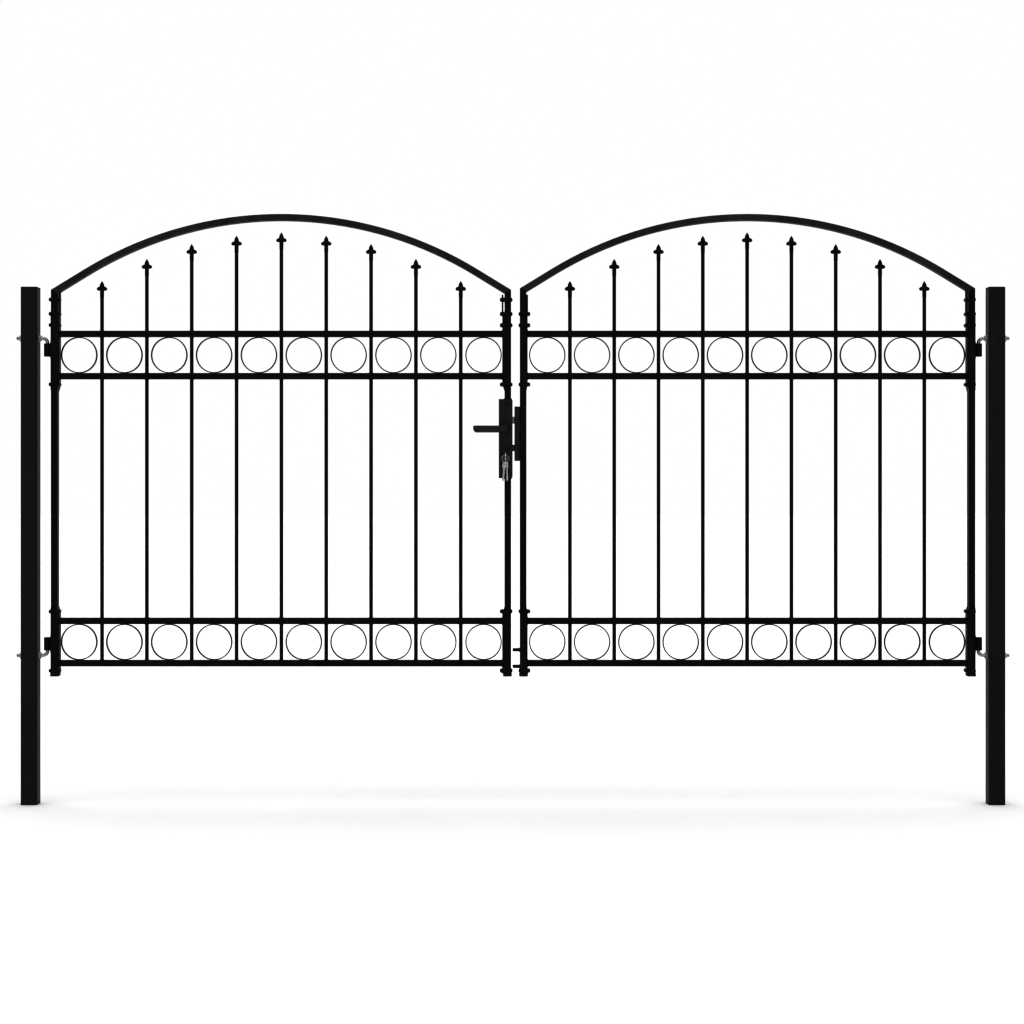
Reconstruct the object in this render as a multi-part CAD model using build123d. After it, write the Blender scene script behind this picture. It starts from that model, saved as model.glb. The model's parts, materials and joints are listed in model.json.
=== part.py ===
from build123d import *
import math
import os

# ---------------------------------------------------------------------------
# Double-leaf arched steel fence gate, hung between two square posts.
# Millimetres.  Origin: centre of the left post's bottom face.
# +X along the gate towards the right post, +Y away from the viewer, +Z up.
# ---------------------------------------------------------------------------

# Posts
POST = 50.0            # square tube, outside
POST_WALL = 2.0
POST_R = 4.0           # outside corner radius
POST_SPAN = 2950.0     # centre to centre of the two posts
POST_TOP = 1579.0      # top of the cap
CAP_T = 5.0            # thickness of the cap and of the base plug
PLUG_DEPTH = 14.0      # how far a cap or plug reaches into the tube

# Leaf frames
TUBE_W = 19.2          # stile and arch tube, seen from the front
TUBE_D = 30.0          # the same tube from front to back
TUBE_WALL = 1.5
TUBE_R = 3.0
L_OUT = 65.0           # left leaf, outer face of the hinge stile
L_IN = 1468.7          # left leaf, free edge of the meeting stile
R_IN = 1496.4          # right leaf, free edge of the meeting stile
R_OUT = 2885.3         # right leaf, outer face of the hinge stile
FOOT_Z = 391.0         # lowest point of both leaves
STILE_Z0 = 394.0       # lower end of the stile tubes
ARCH_TOP = 1802.0      # outer crown of each arch
ARCH_R = 1150.0        # outer radius of each arch
ARCH_STRAIGHT = 600.0  # the arch runs straight past this distance from its centre

# Rails
RAIL_H = 18.5
RAIL_D = 20.0
RAIL_WALL = 1.2
RAIL_Z = (1436.6, 1307.5, 559.5, 430.4)

# Bars, spear tips and rings
BAR_R = 5.2
BAR_COUNT = 9
L_PITCH = 137.1
R_PITCH = 135.45
TIP_Z = (1598.8, 1666.0, 1711.7, 1737.0, 1747.3, 1737.0, 1711.7, 1666.0, 1598.8)
SPEAR_H = 52.0         # spear tip with its socket
RING_OD = RAIL_Z[0] - RAIL_Z[1] - RAIL_H
RING_T = 2.6
RING_DEPTH = 10.0

# Ornamental sleeves on the stiles
BEAD_Z = {"A": 1541.0, "B": 1497.5, "C": 1463.0, "D": 1282.0, "E": 588.7, "F": 407.7}
BEAD_H = 11.4
BEAD_Y = 21.0
SLEEVE_Y = 17.2
# For each stile: thickness of the sleeve on the inner face, reach of the beads beyond the inner
# and the outer face, and where the upright rib starts and ends beyond the inner face
SLEEVES = {
    ("left", "hinge"): (5.6, 7.8, 7.2, (3.4, 7.6)),
    ("left", "meeting"): (6.8, 14.5, 4.6, (4.2, 8.6)),
    ("right", "meeting"): (3.6, 12.0, 4.2, (0.0, 4.8)),
    ("right", "hinge"): (4.8, 11.0, 2.6, (3.4, 7.6)),
}
UPPER_SLEEVE = (1262.0, 1497.5)
LOWER_SLEEVE = (400.0, 603.0)

# Hinges
AXIS_L = 52.0
AXIS_R = POST_SPAN - 52.0
ROD_R = 5.0
ROD_BEND = 14.0
ROD_OUT = 17.0         # rod end beyond the post's outer face
UPPER_ROD_Z = 1423.0
LOWER_ROD_Z = 454.0
UPPER_BARREL = (1368.0, 1407.0)
LOWER_BARREL = (470.0, 509.0)
BARREL_R = 10.5
BARREL_BORE = 5.06
NUT_AF = 17.0
NUT_T = 6.0
WASHER_R = 10.5
WASHER_T = 2.0

# Lock on the left leaf, keep and drop-rod guides on the right leaf
CASE_X = (1432.0, 1473.2)
CASE_Y = 17.0
CASE_Z = (996.0, 1237.0)
CASE_WALL = 2.0
CASE_CORNER = 5.5      # radius of the two corners nearest the keep
SPINDLE_X = 1452.5
LEVER_TIP = 1354.5
LEVER_H = 18.0
SPINDLE_Z = 1146.0
KEY_X = 1452.1
KEY_Z = 1055.0
LATCH_Z = (1162.5, 1183.5)
LATCH_TIP = 1487.0
DEAD_Z = (1078.5, 1097.5)
DEAD_TIP = 1488.5
KEEP_X0 = 1479.9
KEEP_Z = (1049.0, 1214.0)
KEEP_Y = 14.0
GUIDE_Z = (471.3, 420.6)
GUIDE_H = 8.0
GUIDE_TIP = 1474.3
GUIDE_X = 1483.7
GUIDE_R = 6.25
RING_R = 11.0
KEY_Y = -44.0          # where the key ring crosses the key's bow


def box(x0, x1, y0, y1, z0, z1):
    x0, x1 = min(x0, x1), max(x0, x1)
    y0, y1 = min(y0, y1), max(y0, y1)
    z0, z1 = min(z0, z1), max(z0, z1)
    return Pos((x0 + x1) / 2, (y0 + y1) / 2, (z0 + z1) / 2) * Box(x1 - x0, y1 - y0, z1 - z0)


def cyl_z(x, y, z0, z1, r):
    return Pos(x, y, (z0 + z1) / 2) * Cylinder(r, abs(z1 - z0))


def cyl_x(x0, x1, y, z, r):
    return Pos((x0 + x1) / 2, y, z) * Rot(0, 90, 0) * Cylinder(r, abs(x1 - x0))


def cyl_y(x, y0, y1, z, r):
    return Pos(x, (y0 + y1) / 2, z) * Rot(90, 0, 0) * Cylinder(r, abs(y1 - y0))


def rbox_z(x0, x1, y0, y1, z0, z1, r):
    b = box(x0, x1, y0, y1, z0, z1)
    return fillet(b.edges().filter_by(Axis.Z), r)


def rbox_x(x0, x1, y0, y1, z0, z1, r):
    b = box(x0, x1, y0, y1, z0, z1)
    return fillet(b.edges().filter_by(Axis.X), r)


def face_xz(points):
    """A flat face in the plane y = 0 from (x, z) points."""
    wire = Polyline([(p[0], 0, p[1]) for p in points], close=True)
    return make_face(wire)


def prism_y(points, y0, y1):
    f = face_xz(points)
    s = extrude(f, amount=abs(y1 - y0), dir=(0, 1, 0))
    return Pos(0, min(y0, y1), 0) * s


def mirror_x(shape, x):
    return mirror(shape, about=Plane.YZ.offset(x))


def write(shape, node):
    solids = shape.solids() if hasattr(shape, "solids") else [shape]
    out = solids[0] if len(solids) == 1 else Compound(children=[Solid(s.wrapped) for s in solids])
    export_step(out, "parts/%s.step" % node)


os.makedirs("parts", exist_ok=True)

# ---------------------------------------------------------------------------
# Posts, caps and base plugs
# ---------------------------------------------------------------------------


def post(cx):
    h = POST / 2
    t = rbox_z(cx - h, cx + h, -h, h, CAP_T, POST_TOP - CAP_T, POST_R)
    t -= rbox_z(cx - h + POST_WALL, cx + h - POST_WALL, -h + POST_WALL, h - POST_WALL,
                0, POST_TOP, POST_R - POST_WALL)
    for z in (UPPER_ROD_Z, LOWER_ROD_Z):
        t -= cyl_x(cx - 40, cx + 40, 0, z, ROD_R + 0.25)
    return t


def post_end(cx, top):
    """A push-in plug with a flange the size of the post."""
    h = POST / 2
    i = h - POST_WALL - 0.2
    if top:
        f = rbox_z(cx - h, cx + h, -h, h, POST_TOP - CAP_T, POST_TOP, POST_R)
        f = fillet(f.faces().sort_by(Axis.Z)[-1].edges(), 2.0)
        z0, z1 = POST_TOP - CAP_T - PLUG_DEPTH, POST_TOP - CAP_T
    else:
        f = rbox_z(cx - h, cx + h, -h, h, 0, CAP_T, POST_R)
        z0, z1 = CAP_T, CAP_T + PLUG_DEPTH
    s = rbox_z(cx - i, cx + i, -i, i, z0, z1, 2.0)
    s -= box(cx - i + 2.5, cx + i - 2.5, -i + 2.5, i - 2.5, z0 - 1 if top else z0, z1 if top else z1 + 1)
    return f + s


write(post(0), "post_left")
write(post(POST_SPAN), "post_right")
write(post_end(0, True) + post_end(POST_SPAN, True), "post_caps")
write(post_end(0, False) + post_end(POST_SPAN, False), "post_base_plugs")

# ---------------------------------------------------------------------------
# Hinge bolts: a threaded rod through the post, bent into the hinge barrel.
# The upper one turns down into its barrel, the lower one turns up.
# ---------------------------------------------------------------------------


def hinge_bolt(axis_x, post_x, z, up):
    s = 1 if post_x < axis_x else -1
    d = 1 if up else -1
    end = post_x - s * (POST / 2 + ROD_OUT)
    bend_x = axis_x - s * ROD_BEND
    rod = cyl_x(end, bend_x, 0, z, ROD_R)
    rod = chamfer(rod.faces().sort_by(Axis.X)[0 if s > 0 else -1].edges(), 1.2)
    centre = (bend_x, 0, z + d * ROD_BEND)
    sec = Plane(origin=(bend_x, 0, z), x_dir=(0, 1, 0), z_dir=(1, 0, 0)) * Circle(ROD_R)
    bend = revolve(sec, Axis(centre, (0, -s * d, 0)), 90)
    if up:
        pin = cyl_z(axis_x, 0, z + ROD_BEND, LOWER_BARREL[1] - 1.0, ROD_R)
        pin = chamfer(pin.faces().sort_by(Axis.Z)[-1].edges(), 1.0)
    else:
        pin = cyl_z(axis_x, 0, UPPER_BARREL[0] + 1.0, z - ROD_BEND, ROD_R)
        pin = chamfer(pin.faces().sort_by(Axis.Z)[0].edges(), 1.0)
    return rod + bend + pin


def nut(x0, z, s):
    """Washer and hexagon nut, starting at x0 and running along s."""
    w = cyl_x(x0, x0 + s * WASHER_T, 0, z, WASHER_R)
    a, b = x0 + s * WASHER_T, x0 + s * (WASHER_T + NUT_T)
    hexa = Plane(origin=(min(a, b), 0, z), x_dir=(0, 0, 1), z_dir=(1, 0, 0)) * RegularPolygon(
        NUT_AF / 2, 6, major_radius=False)
    n = extrude(hexa, amount=NUT_T)
    n &= cyl_x(a, b, 0, z, NUT_AF / math.sqrt(3) - 0.5)
    n += w
    return n - cyl_x(x0 - 30, x0 + 30, 0, z, ROD_R + 0.06)


def bolts(axis_x, post_x):
    s = 1 if post_x < axis_x else -1
    b = [hinge_bolt(axis_x, post_x, UPPER_ROD_Z, False), hinge_bolt(axis_x, post_x, LOWER_ROD_Z, True)]
    n = []
    for z in (UPPER_ROD_Z, LOWER_ROD_Z):
        n.append(nut(post_x + s * POST / 2, z, s))
        n.append(nut(post_x - s * POST / 2, z, -s))
    return Compound(children=b), Compound(children=n)


for side, axis_x, post_x in (("left", AXIS_L, 0.0), ("right", AXIS_R, POST_SPAN)):
    b, n = bolts(axis_x, post_x)
    export_step(b, "parts/%s_hinge_bolts.step" % side)
    export_step(n, "parts/%s_hinge_nuts.step" % side)

# ---------------------------------------------------------------------------
# Leaf frames
# ---------------------------------------------------------------------------

SLOPE = ARCH_STRAIGHT / math.sqrt(ARCH_R ** 2 - ARCH_STRAIGHT ** 2)
T_ANG = math.atan(SLOPE)


def arch_drop(u, off=0.0):
    """Depth of the arch line below the crown at distance u, off inside the outer line."""
    r = ARCH_R - off
    us = r * math.sin(T_ANG)
    u = abs(u)
    if u <= us:
        return off + r - math.sqrt(r * r - u * u)
    return off + r - math.sqrt(r * r - us * us) + (u - us) * SLOPE


def arch_band(cx, half, off0, off1, y):
    """The band between two lines off0 and off1 inside the arch's outer line."""
    def line(off):
        r = ARCH_R - off
        us = r * math.sin(T_ANG)
        zs = ARCH_TOP - arch_drop(us, off)
        ze = ARCH_TOP - arch_drop(half, off)
        return us, zs, ze, ARCH_TOP - off

    us, zs, ze, zt = line(off0)
    ui, wi, we, wt = line(off1)
    edges = [
        Line((cx - half, 0, ze), (cx - us, 0, zs)),
        ThreePointArc((cx - us, 0, zs), (cx, 0, zt), (cx + us, 0, zs)),
        Line((cx + us, 0, zs), (cx + half, 0, ze)),
        Line((cx + half, 0, ze), (cx + half, 0, we)),
        Line((cx + half, 0, we), (cx + ui, 0, wi)),
        ThreePointArc((cx + ui, 0, wi), (cx, 0, wt), (cx - ui, 0, wi)),
        Line((cx - ui, 0, wi), (cx - half, 0, we)),
        Line((cx - half, 0, we), (cx - half, 0, ze)),
    ]
    f = make_face(Wire(edges))
    s = extrude(f, amount=2 * y, dir=(0, 1, 0))
    return Pos(0, -y, 0) * s


def mitre_cut(cx, half, x_out, s):
    """Wedges above and below the mitre of the stile whose outer face is x_out; s points inwards."""
    zo = ARCH_TOP - arch_drop(half)
    x_in = x_out + s * TUBE_W
    zi = ARCH_TOP - arch_drop(half - TUBE_W, TUBE_W)
    k = (zi - zo) / (x_in - x_out)
    far = 60.0
    xa, za = x_out - s * far, zo - s * far * k
    xb, zb = x_in + s * far, zi + s * far * k
    return prism_y([(xa, za), (xb, zb), (xb, zb + 260), (xa, za + 260)], -40, 40), \
        prism_y([(xa, za), (xb, zb), (xb, zb - 260), (xa, za - 260)], -40, 40)


def arch(cx, half):
    o = arch_band(cx, half + 12, 0, TUBE_W, TUBE_D / 2)
    long_edges = [e for e in o.edges() if abs(abs(e.center().Y) - TUBE_D / 2) < 1e-3
                  and e.length > 60]
    o = fillet(long_edges, TUBE_R)
    o -= arch_band(cx, half + 40, TUBE_WALL, TUBE_W - TUBE_WALL, TUBE_D / 2 - TUBE_WALL)
    for x_out, s in ((cx - half, 1), (cx + half, -1)):
        o -= mitre_cut(cx, half, x_out, s)[1]
    return o


def stile(cx, half, x_out, s, z0=STILE_Z0, z1=1700.0, mitred=True):
    xa, xb = x_out, x_out + s * TUBE_W
    t = rbox_z(xa, xb, -TUBE_D / 2, TUBE_D / 2, z0, z1, TUBE_R)
    t -= rbox_z(xa + s * TUBE_WALL, xb - s * TUBE_WALL, -TUBE_D / 2 + TUBE_WALL, TUBE_D / 2 - TUBE_WALL,
                z0 - 1, z1 + 1, TUBE_R - TUBE_WALL)
    if mitred:
        t -= mitre_cut(cx, half, x_out, s)[0]
    return t


def rail(x0, x1, z, bars, through):
    h, d = RAIL_H / 2, RAIL_D / 2
    t = rbox_x(x0, x1, -d, d, z - h, z + h, 2.0)
    t -= box(x0 - 1, x1 + 1, -d + RAIL_WALL, d - RAIL_WALL, z - h + RAIL_WALL, z + h - RAIL_WALL)
    if through:
        for x in bars:
            t -= cyl_z(x, 0, z - 20, z + 20, BAR_R + 0.06)
    return t


def spear(tip=0.0):
    """A cast spear tip with its point at the origin: pointed blade, two drooping side lobes, socket over the bar."""
    blade = [(0, tip), (1.5, tip - 2.4), (2.9, tip - 4.9), (4.75, tip - 7.7), (5.9, tip - 10.7),
             (6.6, tip - 13.8), (6.9, tip - 17.0), (6.5, tip - 21.0), (5.9, tip - 27.0), (5.8, tip - 32.0),
             (5.8, tip - 49.5), (5.4, tip - SPEAR_H), (0, tip - SPEAR_H)]
    f = make_face(Polyline([(p[0], 0, p[1]) for p in blade], close=True))
    s = revolve(f, Axis.Z, 360)
    zc = tip - 22.0
    for d in (-1, 1):
        lobe = [(0.6, 7.0), (5.3, 6.6), (9.6, 5.8), (13.0, 4.75), (15.0, 3.1), (15.8, 1.4), (16.0, 0), (0.6, 0)]
        g = make_face(Polyline([(p[0], 0, p[1]) for p in lobe], close=True))
        g = revolve(g, Axis.X, 360)
        g = Rot(0, 13, 0) * g
        if d < 0:
            g = mirror(g, about=Plane.YZ)
        s += Pos(0, 0, zc) * g
    return s


SPEAR = spear()


def ring(x, z, od):
    return Pos(x, 0, z) * Rot(90, 0, 0) * (Cylinder(od / 2, RING_DEPTH) - Cylinder(od / 2 - RING_T, RING_DEPTH + 2))


def bead(x_out, s, z, inner, outer):
    """A rounded collar around a stile, reaching further on one side."""
    xa, xb = x_out - s * outer, x_out + s * (TUBE_W + inner)
    b = rbox_z(xa, xb, -BEAD_Y, BEAD_Y, z - BEAD_H / 2, z + BEAD_H / 2, 11.0)
    rim = b.edges().filter_by(lambda e: abs(abs(e.center().Z - z) - BEAD_H / 2) < 1e-3)
    return fillet(rim, 5.3)


def sleeve(x_out, s, z0, z1, taper_low, beads, rails, dims, rib_top=None):
    """A casting around three sides of a stile, with beads, notched for the rails."""
    thick, inner, outer, rib = dims
    x_in = x_out + s * TUBE_W
    xe = x_in + s * thick
    t = 20.0
    if taper_low:
        pts = [(x_out, z0 + 2), (x_in, z0), (xe, z0 + t), (xe, z1), (x_out, z1)]
    else:
        pts = [(x_out, z0), (xe, z0), (xe, z1 - t), (x_in, z1), (x_out, z1 - 2)]
    b = prism_y(pts, -SLEEVE_Y, SLEEVE_Y)
    vert = [e for e in b.edges() if abs(e.center().X - xe) < 1e-3 and e.length > 60]
    b = fillet(vert, 3.4)
    for z in beads:
        b += bead(x_out, s, z, inner, outer)
    if rib_top:
        ra, rb = x_in + s * rib[0], x_in + s * rib[1]
        b += prism_y([(ra, UPPER_SLEEVE[1] - 2), (rb, UPPER_SLEEVE[1] - 2), (rb, rib_top[1]), (ra, rib_top[0])], -6, 6)
    b -= box(x_out, x_in, -TUBE_D / 2, TUBE_D / 2, z0 - 20, z1 + 120)
    for z in rails:
        b -= box(x_in - s, xe + s * 12, -RAIL_D / 2, RAIL_D / 2, z - RAIL_H / 2, z + RAIL_H / 2)
    return b


def foot_cap(x_out, s):
    """A moulded foot pushed over the lower end of a stile."""
    x_in = x_out + s * TUBE_W
    a, b = x_out - s * 2.2, x_in + s * 4.6
    c = rbox_z(a, b, -TUBE_D / 2 - 2.8, TUBE_D / 2 + 2.8, FOOT_Z, 400.0, 5.0)
    c = fillet(c.faces().sort_by(Axis.Z)[0].edges(), 2.0)
    return c - box(x_out, x_in, -TUBE_D / 2, TUBE_D / 2, STILE_Z0, 402)


def barrel(axis_x, x_face, z0, z1):
    s = 1 if x_face > axis_x else -1
    c = cyl_z(axis_x, 0, z0, z1, BARREL_R)
    g = prism_y([(axis_x + s * 6.5, z0 + 3), (x_face, z0 - 11), (x_face, z1 + 11), (axis_x + s * 6.5, z1 - 3)], -5, 5)
    c += g
    return c - cyl_z(axis_x, 0, z0 - 5, z1 + 5, BARREL_BORE)


def leaf(name, hinge_out, meet_out, axis_x, pitch, bead_a_at_meeting, meeting_parts):
    s = 1 if meet_out > hinge_out else -1
    cx = (hinge_out + meet_out) / 2
    half = abs(meet_out - hinge_out) / 2
    x0 = hinge_out + s * TUBE_W
    x1 = meet_out - s * TUBE_W
    bars = [cx + (i - (BAR_COUNT - 1) / 2) * pitch for i in range(BAR_COUNT)]

    write(stile(cx, half, hinge_out, s), "%s_hinge_stile" % name)
    if meeting_parts:
        za, zb = meeting_parts
        low = stile(cx, half, meet_out, -s, STILE_Z0, za, False)
        high = stile(cx, half, meet_out, -s, zb)
        export_step(Compound(children=[low, high]), "parts/%s_meeting_stile.step" % name)
    else:
        write(stile(cx, half, meet_out, -s), "%s_meeting_stile" % name)
    write(arch(cx, half), "%s_arch" % name)

    rails = [rail(min(x0, x1), max(x0, x1), z, bars, i < 3) for i, z in enumerate(RAIL_Z)]
    export_step(Compound(children=rails), "parts/%s_rails.step" % name)

    z_low = RAIL_Z[3] + RAIL_H / 2
    export_step(Compound(children=[cyl_z(x, 0, z_low, t - SPEAR_H, BAR_R) for x, t in zip(bars, TIP_Z)]),
                "parts/%s_bars.step" % name)
    export_step(Compound(children=[Pos(x, 0, t) * SPEAR for x, t in zip(bars, TIP_Z)]), "parts/%s_spears.step" % name)

    gaps = [(min(x0, x1), bars[0] - BAR_R)] + [(bars[i] + BAR_R, bars[i + 1] - BAR_R) for i in range(BAR_COUNT - 1)] \
        + [(bars[-1] + BAR_R, max(x0, x1))]
    mids = [(a + b) / 2 for a, b in gaps]
    zu = (RAIL_Z[0] + RAIL_Z[1]) / 2
    zl = (RAIL_Z[2] + RAIL_Z[3]) / 2
    export_step(Compound(children=[ring(x, zu, RING_OD) for x in mids]), "parts/%s_upper_rings.step" % name)
    export_step(Compound(children=[ring(x, zl, RING_OD) for x in mids]), "parts/%s_lower_rings.step" % name)

    for which, x_out, d, bead_a in (("hinge", hinge_out, s, True), ("meeting", meet_out, -s, bead_a_at_meeting)):
        ups = [BEAD_Z[k] for k in ("A", "B", "C", "D") if k != "A" or bead_a]
        # The rib stands free on the meeting side and runs up to the arch on the hinge side
        dims = SLEEVES[(name, which)]
        tops = [1556.0, 1556.0]
        if which == "hinge":
            tops = [ARCH_TOP - arch_drop(half - TUBE_W - e, TUBE_W) for e in dims[3]]
        hi = sleeve(x_out, d, UPPER_SLEEVE[0], UPPER_SLEEVE[1], True, ups, RAIL_Z[:2], dims, tops)
        lo = sleeve(x_out, d, LOWER_SLEEVE[0], LOWER_SLEEVE[1], False, [BEAD_Z["E"], BEAD_Z["F"]], RAIL_Z[2:], dims)
        export_step(Compound(children=list(hi.solids()) + list(lo.solids())),
                    "parts/%s_%s_sleeves.step" % (name, which))
    export_step(Compound(children=[foot_cap(hinge_out, s), foot_cap(meet_out, -s)]), "parts/%s_foot_caps.step" % name)
    export_step(Compound(children=[barrel(axis_x, hinge_out, *UPPER_BARREL), barrel(axis_x, hinge_out, *LOWER_BARREL)]),
                "parts/%s_hinge_barrels.step" % name)


leaf("left", L_OUT, L_IN, AXIS_L, L_PITCH, True, CASE_Z)
leaf("right", R_OUT, R_IN, AXIS_R, R_PITCH, False, None)

# ---------------------------------------------------------------------------
# Lock
# ---------------------------------------------------------------------------


def cylinder_profile(grow, y0, y1):
    c = cyl_y(KEY_X, y0, y1, KEY_Z, 8.5 + grow)
    c += box(KEY_X - 5 - grow, KEY_X + 5 + grow, y0, y1, KEY_Z - 19.5, KEY_Z)
    return c + cyl_y(KEY_X, y0, y1, KEY_Z - 19.5, 5 + grow)


def case_block(inset, corner):
    b = box(CASE_X[0] + inset, CASE_X[1] - inset, -CASE_Y + inset, CASE_Y - inset, CASE_Z[0] + inset, CASE_Z[1] - inset)
    return fillet(b.edges().filter_by(Axis.Y).group_by(Axis.X)[-1], corner)


case = case_block(0, CASE_CORNER)
case = fillet(case.edges().filter_by(Axis.Z), 2.5)
case -= case_block(CASE_WALL, CASE_CORNER - CASE_WALL)
case -= cyl_y(SPINDLE_X, -30, 30, SPINDLE_Z, 9.0)
case -= cylinder_profile(0.1, -30, 30)
case -= box(1468, 1478, -6.4, 6.4, LATCH_Z[0] - 0.4, LATCH_Z[1] + 0.4)
case -= box(1468, 1478, -7.4, 7.4, DEAD_Z[0] - 0.4, DEAD_Z[1] + 0.4)
write(case, "lock_case")

housing = cylinder_profile(0, -21, 21) - cyl_y(KEY_X, -30, 30, KEY_Z, 6.5)
write(housing, "lock_cylinder")

plug = cyl_y(KEY_X, -21.5, 21.5, KEY_Z, 6.44)
plug -= box(KEY_X - 1.25, KEY_X + 1.25, -22, 6, KEY_Z - 4.4, KEY_Z + 4.4)
write(plug, "lock_plug")


def key_shape(length=56.0):
    """A flat key standing in the plane x = 0, ring hole at the origin, blade hanging down."""
    bow = cyl_x(-1.1, 1.1, 0, -7.0, 11.0)
    neck = box(-1.1, 1.1, -5.0, 5.0, -22, -12)
    blade = box(-1.1, 1.1, -4.0, 4.0, -length, -20)
    k = bow + neck + blade
    k = chamfer(k.edges().filter_by(Axis.X).sort_by(Axis.Z)[:2], 2.6)
    for zz, dd in ((-27, 1.6), (-32, 2.4), (-37, 1.4), (-42, 2.6), (-47, 1.8)):
        k -= Pos(0, 4.0, zz) * Rot(45, 0, 0) * Box(4, dd * 1.2, dd * 1.2)
    return k - cyl_x(-3, 3, 0, 0, 3.0)


# The key in the lock: bow upright, its ring hole above the key's axis.
bow = fillet(box(KEY_X - 1.1, KEY_X + 1.1, -52.0, -30.0, 1048.3, 1072.7).edges().filter_by(Axis.X), 8.0)
shank = box(KEY_X - 1.1, KEY_X + 1.1, -32.0, -22.6, KEY_Z - 4.2, KEY_Z + 4.2)
blade = box(KEY_X - 1.1, KEY_X + 1.1, -23.0, 5.0, KEY_Z - 4.2, KEY_Z + 4.2)
key = bow + shank + blade - cyl_x(KEY_X - 3, KEY_X + 3, KEY_Y, KEY_Z + RING_R, 3.0)
write(key, "key")

kring = Pos(KEY_X, KEY_Y, KEY_Z) * Rot(90, 0, 0) * Torus(RING_R, 0.9)
write(kring, "key_ring")

spares = []
for dx, tilt, turn in ((-3.0, 4.5, 28.0), (3.0, -2.4, 21.0)):
    zw = KEY_Z - math.sqrt(RING_R ** 2 - dx ** 2)
    k = Pos(KEY_X + dx, KEY_Y, zw - 1.4) * Rot(0, tilt, 0) * Rot(0, 0, turn) * key_shape()
    spares.append(k)
export_step(Compound(children=spares), "parts/spare_keys.step")

latch = box(1449.0, LATCH_TIP, -6, 6, *LATCH_Z)
latch = chamfer(latch.edges().filter_by(Axis.Z).group_by(Axis.X)[-1].sort_by(Axis.Y)[:1], 9.0, 9.0)
write(latch, "latch_bolt")
dead = box(1451.0, DEAD_TIP, -7, 7, *DEAD_Z)
dead = chamfer(dead.faces().sort_by(Axis.X)[-1].edges(), 1.0)
write(dead, "dead_bolt")


def lever(d):
    """One lever handle on the side d (-1 front, 1 back): rose, neck, arm and returned end."""
    pts = [(SPINDLE_X + 9.0, 18.0), (SPINDLE_X + 9.0, 50.0), (SPINDLE_X + 4.0, 57.0), (SPINDLE_X - 4.0, 59.0),
           (LEVER_TIP + 10.0, 61.0), (LEVER_TIP + 2.5, 57.5), (LEVER_TIP, 50.0), (LEVER_TIP, 40.0),
           (LEVER_TIP + 9.0, 40.0), (LEVER_TIP + 10.0, 47.0), (LEVER_TIP + 14.0, 49.5), (SPINDLE_X - 14.0, 47.5), (SPINDLE_X - 9.0, 42.0), (SPINDLE_X - 9.0, 18.0)]
    wire = Polyline([(p[0], d * p[1], 0) for p in pts], close=True)
    h = LEVER_H / 2
    a = Pos(0, 0, SPINDLE_Z - h) * extrude(make_face(wire), amount=LEVER_H, dir=(0, 0, 1))
    lim = [e for e in a.edges() if abs(abs(e.center().Z - SPINDLE_Z) - h) < 1e-3]
    a = fillet(lim, 3.2)
    # the lower corner of the end is rounded off
    cut = box(LEVER_TIP - 2, LEVER_TIP + 8, d * 36, d * 64, SPINDLE_Z - h - 2, SPINDLE_Z - h + 8)
    a -= cut - cyl_y(LEVER_TIP + 8, d * 36, d * 64, SPINDLE_Z - h + 8, 8.0)
    a += cyl_y(SPINDLE_X, d * 17.3, d * 25.0, SPINDLE_Z, 13.0)
    return a - box(SPINDLE_X - 4.05, SPINDLE_X + 4.05, d * 10, d * 42, SPINDLE_Z - 4.05, SPINDLE_Z + 4.05)


write(lever(-1), "lever_front")
write(lever(1), "lever_back")
write(box(SPINDLE_X - 4, SPINDLE_X + 4, -41, 41, SPINDLE_Z - 4, SPINDLE_Z + 4), "spindle")

# Keep on the right leaf, hollow behind its face, with a mouth for each bolt.
keep = rbox_z(KEEP_X0, R_IN, -KEEP_Y, KEEP_Y, KEEP_Z[0], KEEP_Z[1], 2.0)
keep -= box(KEEP_X0 + 2.0, R_IN - 2.0, -KEEP_Y + 2, KEEP_Y - 2, KEEP_Z[0] + 2, KEEP_Z[1] - 2)
keep -= box(KEEP_X0 - 2, KEEP_X0 + 4, -8.5, 8.5, LATCH_Z[0] - 3, LATCH_Z[1] + 3)
keep -= box(KEEP_X0 - 2, KEEP_X0 + 4, -9.5, 9.5, DEAD_Z[0] - 3, DEAD_Z[1] + 3)
write(keep, "keep")

guides = []
for z in GUIDE_Z:
    g = box(GUIDE_X, R_IN, -10, 10, z - GUIDE_H / 2, z + GUIDE_H / 2)
    g += cyl_z(GUIDE_X, 0, z - GUIDE_H / 2, z + GUIDE_H / 2, GUIDE_X - GUIDE_TIP)
    g -= cyl_z(GUIDE_X, 0, z - 20, z + 20, GUIDE_R)
    guides.append(g)
export_step(Compound(children=guides), "parts/drop_rod_guides.step")
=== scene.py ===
import json
import math

import bmesh
import bpy
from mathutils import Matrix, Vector


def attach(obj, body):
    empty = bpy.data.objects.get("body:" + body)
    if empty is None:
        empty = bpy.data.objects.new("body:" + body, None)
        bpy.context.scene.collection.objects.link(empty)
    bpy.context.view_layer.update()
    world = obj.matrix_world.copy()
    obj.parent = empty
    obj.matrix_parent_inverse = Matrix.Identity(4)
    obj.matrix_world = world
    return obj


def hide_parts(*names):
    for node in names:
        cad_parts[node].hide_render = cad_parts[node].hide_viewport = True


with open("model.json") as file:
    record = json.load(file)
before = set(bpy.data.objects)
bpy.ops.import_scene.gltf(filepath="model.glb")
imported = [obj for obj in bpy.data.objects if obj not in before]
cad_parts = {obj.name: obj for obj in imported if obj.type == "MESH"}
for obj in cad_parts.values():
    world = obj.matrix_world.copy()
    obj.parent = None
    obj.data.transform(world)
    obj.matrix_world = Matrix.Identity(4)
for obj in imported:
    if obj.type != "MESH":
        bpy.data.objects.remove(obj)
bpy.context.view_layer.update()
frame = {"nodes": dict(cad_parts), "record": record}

MM = 0.001

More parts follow.
